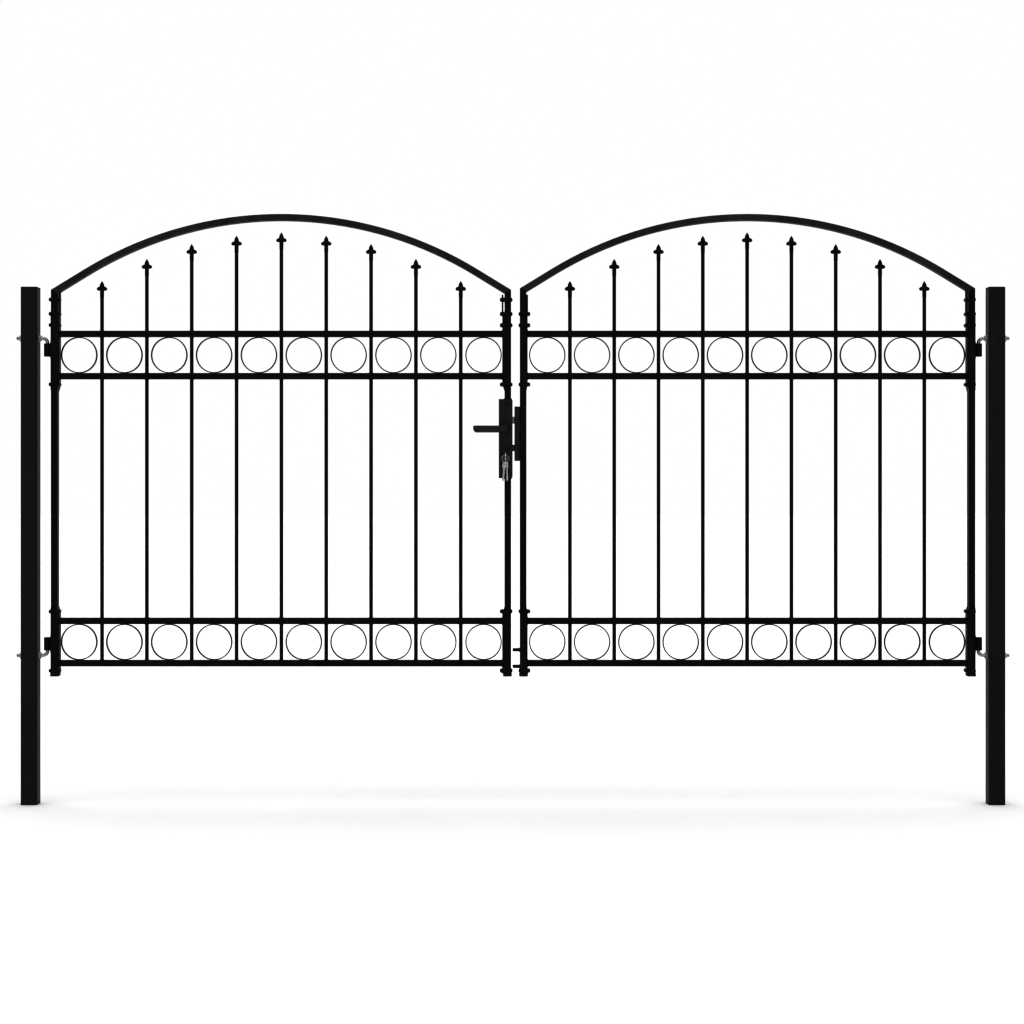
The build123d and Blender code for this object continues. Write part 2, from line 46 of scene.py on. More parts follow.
# ---------------------------------------------------------------------------
# Dimensions in millimetres, the same as the model's
# ---------------------------------------------------------------------------
SPAN = 2950.0
POST = 50.0
TUBE_W, TUBE_D = 19.2, 30.0
LEAVES = {
    "left": {"hinge": 65.0, "meet": 1468.7, "s": 1, "axis": 52.0, "pitch": 137.1},
    "right": {"hinge": 2885.3, "meet": 1496.4, "s": -1, "axis": SPAN - 52.0, "pitch": 135.45},
}
ARCH_TOP, ARCH_R, ARCH_STRAIGHT = 1802.0, 1150.0, 600.0
RAIL_Z = (1436.6, 1307.5, 559.5, 430.4)
RAIL_H, RAIL_D = 18.5, 20.0
BAR_R = 5.2
TIP_Z = (1598.8, 1666.0, 1711.7, 1737.0, 1747.3, 1737.0, 1711.7, 1666.0, 1598.8)
RING_OD, RING_T, RING_DEPTH = 110.6, 2.6, 10.0
# Thickness of the sleeve on each stile's inner face, and where its upright rib starts and ends
SLEEVE_IN = {("left", "hinge"): 5.6, ("left", "meeting"): 6.8, ("right", "meeting"): 3.6, ("right", "hinge"): 4.8}
RIB = (3.4, 7.6)
ROD_R, ROD_BEND, ROD_OUT = 5.0, 14.0, 17.0
ROD_Z = {"upper": 1423.0, "lower": 454.0}
PIN_END = {"upper": 1369.0, "lower": 508.0}
BARREL = ((1368.0, 1407.0), (470.0, 509.0))
CASE_X, CASE_Y, CASE_Z = (1432.0, 1473.2), 17.0, (996.0, 1237.0)
KEEP_X, KEEP_Y, KEEP_Z = (1479.9, 1496.4), 14.0, (1049.0, 1214.0)
GUIDE_Z, GUIDE_H, GUIDE_X = (471.3, 420.6), 8.0, 1483.7
KEY_X, KEY_Y, KEY_Z, KEY_RING_R = 1452.1, -44.0, 1055.0, 11.0
SPINDLE_X, SPINDLE_Z = 1452.5, 1146.0


def wobble(a, k=0.0):
    """A smooth, repeatable unevenness between about -1 and 1."""
    return (math.sin(a * 1.0 + k * 2.3) + 0.6 * math.sin(a * 2.7 + k * 5.1 + 1.3)
            + 0.4 * math.sin(a * 5.9 + k * 3.7 + 0.4)) / 2.0


# ---------------------------------------------------------------------------
# Materials
# ---------------------------------------------------------------------------
class Mat:
    def __init__(self, name):
        self.mat = bpy.data.materials.new(name)
        self.mat.use_nodes = True
        self.tree = self.mat.node_tree
        self.tree.nodes.clear()
        self.out = self.tree.nodes.new("ShaderNodeOutputMaterial")
        self.bsdf = self.tree.nodes.new("ShaderNodeBsdfPrincipled")
        self.tree.links.new(self.bsdf.outputs[0], self.out.inputs["Surface"])
        self.co = self.tree.nodes.new("ShaderNodeTexCoord").outputs["Object"]
        self.geo = self.tree.nodes.new("ShaderNodeNewGeometry")

    def link(self, a, b):
        self.tree.links.new(a, b)

    def stretch(self, scale):
        n = self.tree.nodes.new("ShaderNodeMapping")
        n.inputs["Scale"].default_value = scale
        self.link(self.co, n.inputs["Vector"])
        return n.outputs[0]

    def noise(self, scale, detail=2.0, rough=0.5, vector=None, distortion=0.0):
        n = self.tree.nodes.new("ShaderNodeTexNoise")
        n.inputs["Scale"].default_value = scale
        n.inputs["Detail"].default_value = detail
        n.inputs["Roughness"].default_value = rough
        n.inputs["Distortion"].default_value = distortion
        self.link(vector or self.co, n.inputs["Vector"])
        return n.outputs["Fac"]

    def voronoi(self, scale, vector=None, feature="F1"):
        n = self.tree.nodes.new("ShaderNodeTexVoronoi")
        n.feature = feature
        n.inputs["Scale"].default_value = scale
        self.link(vector or self.co, n.inputs["Vector"])
        return n.outputs["Distance"]

    def span(self, value, a, b, lo, hi, smooth=True):
        n = self.tree.nodes.new("ShaderNodeMapRange")
        n.interpolation_type = "SMOOTHSTEP" if smooth else "LINEAR"
        for key, v in (("From Min", a), ("From Max", b), ("To Min", lo), ("To Max", hi)):
            n.inputs[key].default_value = v
        self.link(value, n.inputs["Value"])
        return n.outputs["Result"]

    def math(self, op, a, b):
        n = self.tree.nodes.new("ShaderNodeMath")
        n.operation = op
        for i, v in enumerate((a, b)):
            if isinstance(v, (int, float)):
                n.inputs[i].default_value = v
            else:
                self.link(v, n.inputs[i])
        return n.outputs[0]

    def mix(self, fac, a, b):
        n = self.tree.nodes.new("ShaderNodeMix")
        n.data_type = "RGBA"
        self.link(fac, n.inputs["Factor"])
        for key, v in (("A", a), ("B", b)):
            s = [i for i in n.inputs if i.name == key and i.type == "RGBA"][0]
            if isinstance(v, tuple):
                s.default_value = (*v, 1.0)
            else:
                self.link(v, s)
        return [o for o in n.outputs if o.type == "RGBA"][0]

    def bump(self, height, distance, strength=1.0, normal=None):
        n = self.tree.nodes.new("ShaderNodeBump")
        n.inputs["Strength"].default_value = strength
        n.inputs["Distance"].default_value = distance
        self.link(height, n.inputs["Height"])
        if normal is not None:
            self.link(normal, n.inputs["Normal"])
        return n.outputs[0]

    def edges(self, radius, lo=0.03, hi=0.25):
        """1 along sharp edges, 0 on the flats."""
        b = self.tree.nodes.new("ShaderNodeBevel")
        b.samples = 4
        b.inputs["Radius"].default_value = radius
        d = self.tree.nodes.new("ShaderNodeVectorMath")
        d.operation = "DOT_PRODUCT"
        self.link(b.outputs[0], d.inputs[0])
        self.link(self.geo.outputs["Normal"], d.inputs[1])
        return self.span(self.math("SUBTRACT", 1.0, d.outputs["Value"]), lo, hi, 0.0, 1.0)

    def set(self, key, value):
        s = self.bsdf.inputs[key]
        if isinstance(value, (int, float)):
            s.default_value = value
        elif isinstance(value, tuple):
            s.default_value = (*value, 1.0)
        else:
            self.link(value, s)


def powder_coat(name, dark, light, rough, spread, peel, grain, level=0.5):
    """Black powder coat: orange peel, a fine grain, uneven gloss, glossier on the arrises and lighter there in
    patches, partly a worn-thin coat and partly a painted highlight.
    """
    m = Mat(name)
    patch = m.noise(6.0, 4.0, 0.6)
    streak = m.noise(1.0, 3.0, 0.55, vector=m.stretch((26.0, 26.0, 5.0)))
    both = m.math("ADD", m.math("MULTIPLY", patch, 0.6), m.math("MULTIPLY", streak, 0.4))
    edge = m.edges(0.0012)
    body = m.mix(m.span(both, 0.35, 0.65, 0.0, 1.0), dark, light)
    # patchy lighter arrises: partly worn-thin coat, partly painted highlight
    edge_wear_and_highlight = m.math("MULTIPLY", edge, m.span(m.noise(55.0, 3.0, 0.7), 0.42, 0.7, 0.15, 1.0))
    m.set("Base Color", m.mix(edge_wear_and_highlight, body, tuple(min(1.0, c * 1.8 + 0.02) for c in light)))
    r = m.math("ADD", m.span(both, 0.3, 0.7, rough - spread, rough + spread),
               m.span(m.noise(190.0, 2.0, 0.5), 0.3, 0.7, -0.02, 0.03))
    m.set("Roughness", m.math("SUBTRACT", r, m.math("MULTIPLY", edge, 0.06)))
    h = m.bump(m.noise(2600.0, 2.0, 0.6), grain)
    h = m.bump(m.noise(310.0, 1.0, 0.4), peel, normal=h)
    m.set("Normal", m.bump(m.noise(14.0, 2.0, 0.4), 0.00018, normal=h))
    m.set("IOR", 1.5)
    m.set("Specular IOR Level", level)
    return m.mat


def moulded_plastic(name):
    """Moulded black polyethylene: a fine spark-eroded grain, duller than the paint, with a painted highlight along the
    edges.
    """
    m = Mat(name)
    soft = m.noise(40.0, 3.0, 0.6)
    edge = m.edges(0.001)
    c = m.mix(m.span(soft, 0.35, 0.65, 0.0, 1.0), (0.030, 0.030, 0.031), (0.042, 0.042, 0.043))
    # lighter along the edges: painted highlight
    m.set("Base Color", m.mix(m.math("MULTIPLY", edge, 0.6), c, (0.070, 0.070, 0.071)))
    m.set("Roughness", m.span(soft, 0.3, 0.7, 0.44, 0.56))
    g = m.bump(m.voronoi(1150.0), 0.00005, 0.9)
    m.set("Normal", m.bump(m.noise(90.0, 2.0, 0.5), 0.0001, normal=g))
    m.set("IOR", 1.48)
    return m.mat


def plated(name, dark, light, tint, rough, spread, along, scratch, metallic=1.0, spots=None):
    """Plated or bare metal with a worked direction, mottling, fine scratches and a painted highlight along the edges.
    """
    m = Mat(name)
    brush = m.noise(1.0, 4.0, 0.65, vector=m.stretch(along))
    cloud = m.noise(75.0, 4.0, 0.6, distortion=0.4)
    crystal = m.voronoi(420.0)
    edge = m.edges(0.0006)
    c = m.mix(m.span(cloud, 0.35, 0.66, 0.0, 1.0), dark, light)
    c = m.mix(m.math("MULTIPLY", m.span(m.noise(160.0, 3.0, 0.6), 0.5, 0.72, 0.0, 1.0), 0.7), c, tint)
    if spots:
        c = m.mix(m.span(m.noise(230.0, 5.0, 0.7), 0.6, 0.72, 0.0, 0.85), c, spots)
    # lighter along the edges: painted highlight
    m.set("Base Color", m.mix(m.math("MULTIPLY", edge, 0.5), c, tuple(min(1.0, v * 1.12) for v in light)))
    m.set("Metallic", metallic)
    r = m.math("ADD", m.span(cloud, 0.3, 0.7, rough - spread, rough + spread),
               m.span(crystal, 0.0, 0.6, -0.03, 0.05))
    m.set("Roughness", r)
    m.set("Normal", m.bump(m.math("ADD", brush, m.math("MULTIPLY", crystal, 0.25)), scratch))
    return m.mat


MATS = {
    "post_coating": powder_coat("post_powder_coat", (0.040, 0.040, 0.041), (0.053, 0.053, 0.054),
                                0.24, 0.035, 0.00004, 0.000008, level=0.4),
    "leaf_coating": powder_coat("leaf_powder_coat", (0.019, 0.019, 0.0194), (0.033, 0.033, 0.0335),
                                0.26, 0.045, 0.00005, 0.000008, level=0.25),
    "lock_coating": powder_coat("lock_satin_paint", (0.054, 0.054, 0.055), (0.068, 0.068, 0.069),
                                0.34, 0.04, 0.00003, 0.00001),
    "lever_finish": powder_coat("lever_satin_coat", (0.066, 0.066, 0.067), (0.086, 0.086, 0.087),
                                0.30, 0.03, 0.00002, 0.000006),
    "cap_plastic": moulded_plastic("cap_moulded_plastic"),
    "zinc": plated("zinc_plate", (0.60, 0.61, 0.63), (0.80, 0.81, 0.83), (0.72, 0.73, 0.70),
                   0.36, 0.08, (120.0, 900.0, 900.0), 0.00002, metallic=0.7),
    "bare_steel": plated("oiled_steel", (0.16, 0.155, 0.15), (0.30, 0.295, 0.29), (0.20, 0.17, 0.14),
                         0.34, 0.08, (90.0, 1100.0, 1100.0), 0.00002, spots=(0.10, 0.07, 0.05)),
    "nickel": plated("nickel_plate", (0.84, 0.835, 0.82), (0.94, 0.935, 0.92), (0.86, 0.85, 0.82),
                     0.34, 0.06, (1300.0, 1300.0, 160.0), 0.000015, metallic=0.3),
}
# The arches get a lighter copy of the leaves' coat: painted light for the sky that they catch more than the upright
# tubes.
ARCH_SKYLIT_COAT = powder_coat("leaf_powder_coat_painted_skylight", (0.056, 0.056, 0.057), (0.096, 0.096, 0.098),
                        0.30, 0.05, 0.00005, 0.000008, level=0.30)

# The lock cylinder's face and plug get a darker, greyer copy of the nickel: painted shade for the shade they sit in
# behind the keys.
CYLINDER_PAINTED_SHADE = plated("painted_shade_matt_nickel", (0.20, 0.20, 0.195), (0.33, 0.33, 0.32), (0.26, 0.255, 0.24),
                       0.42, 0.06, (900.0, 900.0, 900.0), 0.00002, metallic=0.85)

# The latch bolt's head gets a paler, less metallic copy of the zinc: painted light that lifts it out of the shade in
# the gap between the case and the keep.
LATCH_PAINTED_LIGHT = plated("painted_light_dull_zinc", (0.74, 0.74, 0.70), (0.90, 0.90, 0.86), (0.78, 0.77, 0.70),
                    0.46, 0.05, (120.0, 900.0, 900.0), 0.00002, metallic=0.3)

slot_of = {row["node"]: row["material_slot"] for row in frame["record"]["subparts"]}
for name, node in frame["nodes"].items():
    slot = slot_of[name]
    node.data.materials.clear()
    # the arches and the latch take lighter copies of their coats (painted light), the lock cylinder and plug a darker
    # copy (painted shade)
    look = {"left_arch": ARCH_SKYLIT_COAT, "right_arch": ARCH_SKYLIT_COAT, "lock_cylinder": CYLINDER_PAINTED_SHADE,
            "lock_plug": CYLINDER_PAINTED_SHADE, "latch_bolt": LATCH_PAINTED_LIGHT}.get(name, MATS[slot])
    node.data.materials.append(look)


# ---------------------------------------------------------------------------
# Mesh builders (millimetres in, metres out)
# ---------------------------------------------------------------------------
class Soup:
    """Closed surfaces gathered into one mesh."""

    def __init__(self):
        self.v, self.f = [], []

    def add(self, verts, faces):
        n = len(self.v)
        self.v.extend((x * MM, y * MM, z * MM) for x, y, z in verts)
        self.f.extend(tuple(i + n for i in f) for f in faces)

    def loops(self, rings, closed=False, caps=True):
        """Skins a list of equal rings of points; closed joins the last ring to the first."""
        k = len(rings[0])
        verts = [p for r in rings for p in r]
        faces = []
        last = len(rings) if closed else len(rings) - 1
        for i in range(last):
            a, b = i * k, ((i + 1) % len(rings)) * k
            for j in range(k):
                j2 = (j + 1) % k
                faces.append((a + j, a + j2, b + j2, b + j))
        if not closed and caps:
            faces.append(tuple(range(k))[::-1])
            m = (len(rings) - 1) * k
            faces.append(tuple(m + j for j in range(k)))
        self.add(verts, faces)

    def piece(self, name, body, slot, sharp=None, replaces=()):
        me = bpy.data.meshes.new(name)
        me.from_pydata(self.v, [], self.f)
        bm = bmesh.new()
        bm.from_mesh(me)
        bmesh.ops.recalc_face_normals(bm, faces=bm.faces)
        bm.to_mesh(me)
        bm.free()
        me.shade_smooth()
        if sharp:
            me.set_sharp_from_angle(angle=math.radians(sharp))
        me.materials.append(MATS[slot])
        o = bpy.data.objects.new(name, me)
        bpy.context.scene.collection.objects.link(o)
        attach(o, body)
        if replaces:
            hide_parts(*replaces)
        return o


def bead(soup, p0, p1, u, v, leg, seed=0.0, pitch=2.6, sink=0.5, taper=True):
    """A laid weld bead in the corner that runs from p0 to p1: u and v point along the two faces that meet there."""
    p0, p1, u, v = Vector(p0), Vector(p1), Vector(u).normalized(), Vector(v).normalized()
    length = (p1 - p0).length
    n = max(4, int(length / 1.3))
    rings = []
    for i in range(n + 1):
        t = i / n
        end = min(1.0, min(t, 1 - t) * length / (leg * 0.9)) if taper else 1.0
        end = math.sqrt(max(0.0, 1 - (1 - end) ** 2)) * 0.93 + 0.07
        ripple = 1 + 0.07 * abs(math.sin(math.pi * (t * length / pitch + seed))) + 0.06 * wobble(t * length * 0.35, seed)
        s = leg * end * ripple
        c = p0.lerp(p1, t)
        inner = c - (u + v) * sink
        rings.append([tuple(inner), tuple(c + u * s - v * sink), tuple(c + u * s * 0.97),
                      tuple(c + u * s * 0.78 + v * s * 0.42), tuple(c + (u + v) * s * 0.60),
                      tuple(c + u * s * 0.42 + v * s * 0.78), tuple(c + v * s * 0.97), tuple(c + v * s - u * sink)])
    soup.loops(rings)


def bar_bead(soup, x, z, d, leg, seed):
    """The weld around a round bar where it meets a rail's face at height z; d is the side that the bead lies on."""
    n = 32
    rings = []
    for i in range(n):
        a = 2 * math.pi * i / n
        s = leg * (1 + 0.10 * abs(math.sin(a * 4.5 + seed)) + 0.14 * wobble(a * 2, seed))
        c, w = math.cos(a), math.sin(a)

        def at(r, h):
            return (x + c * r, w * r, z + d * h)
        rings.append([at(BAR_R - 0.5, -0.4), at(BAR_R - 0.5, s), at(BAR_R + 0.12, s), at(BAR_R + 0.36 * s, 0.72 * s),
                      at(BAR_R + 0.72 * s, 0.36 * s), at(BAR_R + s, 0.1), at(BAR_R + s, -0.4)])
    soup.loops(rings, closed=True)


def frame_bead(soup, x, s, y, z, leg, seed, corner=2.0):
    """The weld around a rail's end: a rounded rectangle in the plane x, on the side s."""
    pts = []
    hy, hz = y, z[1]
    cz = z[0]
    for qa, (sy, sz) in enumerate(((1, 1), (-1, 1), (-1, -1), (1, -1))):
        for k in range(5):
            a = math.pi / 2 * (qa + k / 4)
            pts.append((sy * (hy - corner) + corner * math.cos(a), cz + sz * (hz - corner) + corner * math.sin(a),
                        math.cos(a), math.sin(a)))
    dense = []
    for i, p in enumerate(pts):
        q = pts[(i + 1) % len(pts)]
        gap = math.hypot(q[0] - p[0], q[1] - p[1])
        steps = max(1, int(gap / 1.6))
        for k in range(steps):
            t = k / steps
            dense.append(tuple(a + (b - a) * t for a, b in zip(p, q)))
    rings = []
    for i, (py, pz, ny, nz) in enumerate(dense):
        w = leg * (1 + 0.09 * abs(math.sin(i * 1.15 + seed)) + 0.1 * wobble(i * 0.4, seed))
        l = math.hypot(ny, nz)
        ny, nz = ny / l, nz / l

        def at(out, along):
            return (x + s * along, py + ny * out, pz + nz * out)
        rings.append([at(-0.5, -0.5), at(w, -0.5), at(w, 0.08 * w), at(0.62 * w, 0.42 * w), at(0.3 * w, 0.74 * w),
                      at(0.05 * w, w), at(-0.5, w)])
    soup.loops(rings, closed=True)


def turned(soup, profile, origin, axis, n=48, closed_profile=False):
    """Revolves (radius, along) points about an axis; a profile that starts and ends at radius 0 makes a closed solid."""
    o, a = Vector(origin), Vector(axis).normalized()
    u = a.orthogonal().normalized()
    w = a.cross(u)
    verts, faces, rows = [], [], []
    for r, h in profile:
        if r < 1e-6:
            rows.append([len(verts)])
            verts.append(tuple(o + a * h))
        else:
            rows.append(list(range(len(verts), len(verts) + n)))
            for i in range(n):
                t = 2 * math.pi * i / n
                verts.append(tuple(o + a * h + (u * math.cos(t) + w * math.sin(t)) * r))
    pairs = list(zip(rows, rows[1:]))
    if closed_profile:
        pairs.append((rows[-1], rows[0]))
    for p, q in pairs:
        for i in range(n):
            j = (i + 1) % n
            if len(p) == 1 and len(q) == 1:
                continue
            if len(p) == 1:
                faces.append((p[0], q[j], q[i]))
            elif len(q) == 1:
                faces.append((p[i], p[j], q[0]))
            else:
                faces.append((p[i], p[j], q[j], q[i]))
    soup.add(verts, faces)


# ---------------------------------------------------------------------------
# Hinge bolts with their threads, chamfered nuts and washers
# ---------------------------------------------------------------------------
def mirror(side, pts):
    return pts if side == "left" else [(SPAN - x, y, z) for x, y, z in pts]


def hinge_rod(soup, side, which):
    z0 = ROD_Z[which]
    d = -1 if which == "upper" else 1
    x0, bend_x, axis_x = -(POST / 2 + ROD_OUT), LEAVES["left"]["axis"] - ROD_BEND, LEAVES["left"]["axis"]
    n = 32
    stations = []
    run = bend_x - x0
    s = 0.0
    while s <= run - 0.6:
        stations.append(s)
        s += 0.25 if (s < 10.0 or s > 73.5) else 9.0

    def ring(cx, cz, nx, nz, r_of):
        pts = []
        for i in range(n):
            t = 2 * math.pi * i / n
            r = r_of(t)
            pts.append((cx + nx * math.cos(t) * r, math.sin(t) * r, cz + nz * math.cos(t) * r))
        return pts
    rings = []
    for s in stations:
        lead = min(1.0, (s + 0.05) / 1.3)
        fade = min(1.0, max(0.0, (run - s) / 2.5))

        def r_of(t, s=s, lead=lead, fade=fade):
            ph = (s / 1.5 + t / (2 * math.pi)) % 1.0
            tri = abs(ph * 2 - 1)
            depth = 0.80 * fade
            top = ROD_R - depth * min(1.0, max(0.0, (tri - 0.08) / 0.80))
            return min(top, 3.75 + 1.25 * lead)
        rings.append(ring(x0 + s, z0, 0, 1, r_of))
    for k in range(0, 15):
        a = math.pi / 2 * k / 14
        cx = bend_x + ROD_BEND * math.sin(a)
        cz = z0 + d * (ROD_BEND - ROD_BEND * math.cos(a))
        rings.append(ring(cx, cz, -d * math.sin(a), math.cos(a), lambda t: ROD_R))
    end = PIN_END[which]
    rings.append(ring(axis_x, end - d * 1.0, -d, 0, lambda t: ROD_R))
    rings.append(ring(axis_x, end, -d, 0, lambda t: ROD_R - 1.0))
    soup.loops([mirror(side, r) for r in rings])


def hex_nut(soup, side, x0, s, z, turn):
    n, ap, thick = 72, 8.5, 6.0
    rings = []
    for i in range(n):
        t = 2 * math.pi * i / n
        k = (t % (math.pi / 3)) - math.pi / 6
        r = ap / math.cos(k)
        r = min(r, 9.72)
        d = (r - 8.15) / 1.9
        c, w = math.cos(t + turn), math.sin(t + turn)
        prof = [(5.02, 0.6), (5.7, 0.0), (8.15, 0.0), (r, d), (r, thick - d), (8.15, thick), (5.7, thick), (5.02, thick - 0.6)]
        rings.append([(x0 + s * h, c * q, z + w * q) for q, h in prof])
    soup.loops([mirror(side, r) for r in rings], closed=True)


def washer(soup, side, x0, s, z):
    n = 64
    rings = []
    for i in range(n):
        t = 2 * math.pi * i / n
        prof = [(5.2, 0.25), (5.5, 0.0), (10.25, 0.0), (10.5, 0.25), (10.5, 1.7), (10.2, 2.0), (5.5, 2.0), (5.2, 1.75)]
        rings.append([(x0 + s * h, math.cos(t) * q, z + math.sin(t) * q) for q, h in prof])
    soup.loops([mirror(side, r) for r in rings], closed=True)


for side in ("left", "right"):
    rods, nuts = Soup(), Soup()
    for which, turn in (("upper", 0.13), ("lower", 0.41)):
        hinge_rod(rods, side, which)
        z = ROD_Z[which]
        for s, t in ((1, 0.0), (-1, 0.27)):
            washer(nuts, side, s * POST / 2, s, z)
            hex_nut(nuts, side, s * (POST / 2 + 2.0), s, z, turn + t)
    rods.piece(side + "_threaded_hinge_rods", "posts", "zinc", 32, [side + "_hinge_bolts"])
    nuts.piece(side + "_hexagon_nuts", "posts", "zinc", 24, [side + "_hinge_nuts"])

# ---------------------------------------------------------------------------
# Welds on the leaves
# ---------------------------------------------------------------------------
SLOPE = ARCH_STRAIGHT / math.sqrt(ARCH_R ** 2 - ARCH_STRAIGHT ** 2)
T_ANG = math.atan(SLOPE)


def arch_drop(u, off=0.0):
    r = ARCH_R - off
    us = r * math.sin(T_ANG)
    if u <= us:
        return off + r - math.sqrt(r * r - u * u)
    return off + r - math.sqrt(r * r - us * us) + (u - us) * SLOPE


for side, leaf in LEAVES.items():
    body = side + "_leaf"
    s, hinge, meet = leaf["s"], leaf["hinge"], leaf["meet"]
    cx, half = (hinge + meet) / 2, abs(meet - hinge) / 2
    x0, x1 = hinge + s * TUBE_W, meet - s * TUBE_W
    lo, hi = min(x0, x1), max(x0, x1)
    bars = [cx + (i - 4) * leaf["pitch"] for i in range(9)]

    # Around every bar, above and below each rail
    w = Soup()
    for i, x in enumerate(bars):
        for j, z in enumerate(RAIL_Z):
            bar_bead(w, x, z + RAIL_H / 2, 1, 2.0, i * 1.7 + j)
            if j < 3:
                bar_bead(w, x, z - RAIL_H / 2, -1, 2.0, i * 2.9 + j + 0.5)
    w.piece(side + "_bar_welds", body, "leaf_coating")

    # Tacks on both faces of each ring, where it touches a rail
    w = Soup()
    gaps = [(lo, bars[0] - BAR_R)] + [(bars[i] + BAR_R, bars[i + 1] - BAR_R) for i in range(8)] + [(bars[-1] + BAR_R, hi)]
    for i, (a, b) in enumerate(gaps):
        x = (a + b) / 2
        for j, (top, bottom) in enumerate(((RAIL_Z[0], RAIL_Z[1]), (RAIL_Z[2], RAIL_Z[3]))):
            for z, d in ((top - RAIL_H / 2, -1), (bottom + RAIL_H / 2, 1)):
                for y in (-1, 1):
                    k = i * 1.3 + j * 0.7 + y
                    off = 1.2 * wobble(k * 3.1, d)
                    bead(w, (x - 8.0 + off, y * RING_DEPTH / 2, z), (x + 8.0 + off, y * RING_DEPTH / 2, z),
                         (0, y, 0), (0, 0, d), 2.5, seed=k, sink=0.8)
    w.piece(side + "_ring_welds", body, "leaf_coating")

    # Rail ends, arch mitres, hinge barrels
    w = Soup()
    for j, z in enumerate(RAIL_Z):
        for k, (x, d) in enumerate(((x0 + s * SLEEVE_IN[(side, "hinge")], s), (x1 - s * SLEEVE_IN[(side, "meeting")], -s))):
            frame_bead(w, x, d, RAIL_D / 2, (z, RAIL_H / 2), 2.2, j * 1.9 + k)
    for x_out, d in ((hinge, s), (meet, -s)):
        x_in = x_out + d * TUBE_W
        zo = ARCH_TOP - arch_drop(half)
        zi = ARCH_TOP - arch_drop(half - TUBE_W, TUBE_W)
        along = Vector((x_in - x_out, 0, zi - zo)).normalized()
        across = Vector((-along.z, 0, along.x))
        for y in (-1, 1):
            rings = []
            n = 22
            for i in range(n + 1):
                # the bead stops short of the rounded corners at both ends
                t = 0.13 + 0.79 * i / n
                p = Vector((x_out + (x_in - x_out) * t, y * TUBE_D / 2, zo + (zi - zo) * t))
                end = math.sin(math.pi * (0.04 + 0.92 * i / n)) ** 0.35
                hw = 1.9 * (0.45 + 0.55 * end) * (1 + 0.12 * wobble(i * 0.8, d + y))
                h = (0.55 + 0.12 * abs(math.sin(i * 1.2))) * end
                up = Vector((0, y, 0))
                rings.append([tuple(p + across * hw - up * 0.6), tuple(p + across * hw * 0.96 + up * 0.02),
                              tuple(p + across * hw * 0.5 + up * h * 0.8), tuple(p + up * h),
                              tuple(p - across * hw * 0.5 + up * h * 0.8), tuple(p - across * hw * 0.96 + up * 0.02),
                              tuple(p - across * hw - up * 0.6)])
            w.loops(rings)
    for k, (za, zb) in enumerate(BARREL):
        for y in (-1, 1):
            bead(w, (hinge, y * 5.0, za - 10.0), (hinge, y * 5.0, zb + 10.0), (0, y, 0), (-s, 0, 0), 3.2, seed=k + y)
            # from the barrel to its web
            bead(w, (leaf["axis"] + s * 9.15, y * 5.0, za + 2.0), (leaf["axis"] + s * 9.15, y * 5.0, zb - 2.0),
                 (s, 0, 0), (0, y, 0), 2.4, seed=k * 2 + y, sink=0.9)
    # the hinge side's rib under the arch
    for y in (-1, 1):
        a, b = (hinge + s * (TUBE_W + e) for e in RIB)
        za, zb = (ARCH_TOP - arch_drop(half - TUBE_W - e, TUBE_W) for e in RIB)
        bead(w, (a, y * 6.0, za), (b, y * 6.0, zb), (0, y, 0), (0, 0, -1), 2.2, seed=y, sink=0.8, taper=False)
    a, za = hinge + s * (TUBE_W + RIB[1]), ARCH_TOP - arch_drop(half - TUBE_W - RIB[1], TUBE_W)
    bead(w, (a, -6.0, za), (a, 6.0, za), (s, 0, 0), (0, 0, -1), 2.2, seed=3.0, sink=0.8)
    w.piece(side + "_frame_welds", body, "leaf_coating")

# Keep and rod guides on the right leaf, lock case on the left one
w = Soup()
for y in (-1, 1):
    for za, zb in ((KEEP_Z[0] + 6, KEEP_Z[0] + 40), (1114.0, 1148.0), (KEEP_Z[1] - 40, KEEP_Z[1] - 6)):
        bead(w, (KEEP_X[1], y * KEEP_Y, za), (KEEP_X[1], y * KEEP_Y, zb), (0, y, 0), (-1, 0, 0), 1.9, seed=za + y, sink=0.7)
for z in GUIDE_Z:
    for d in (-1, 1):
        bead(w, (KEEP_X[1], -9.0, z + d * GUIDE_H / 2), (KEEP_X[1], 9.0, z + d * GUIDE_H / 2), (0, 0, d), (-1, 0, 0), 2.4,
             seed=z * d)
w.piece("keep_and_guide_welds", "right_leaf", "leaf_coating")

w = Soup()
sx0, sx1 = LEAVES["left"]["meet"] - TUBE_W, LEAVES["left"]["meet"]
for z, d in ((CASE_Z[1], 1), (CASE_Z[0], -1)):
    for y in (-1, 1):
        bead(w, (sx0 + 1.5, y * TUBE_D / 2, z), (sx1 - 1.5, y * TUBE_D / 2, z), (0, y, 0), (0, 0, d), 1.8, seed=z + y, sink=0.6)
    bead(w, (sx0, -TUBE_D / 2 + 3, z), (sx0, TUBE_D / 2 - 3, z), (-1, 0, 0), (0, 0, d), 2.8, seed=z)
    bead(w, (sx1, -TUBE_D / 2 + 3, z), (sx1, TUBE_D / 2 - 3, z), (1, 0, 0), (0, 0, d), 2.8, seed=z + 2)
w.piece("lock_case_welds", "left_leaf", "leaf_coating")


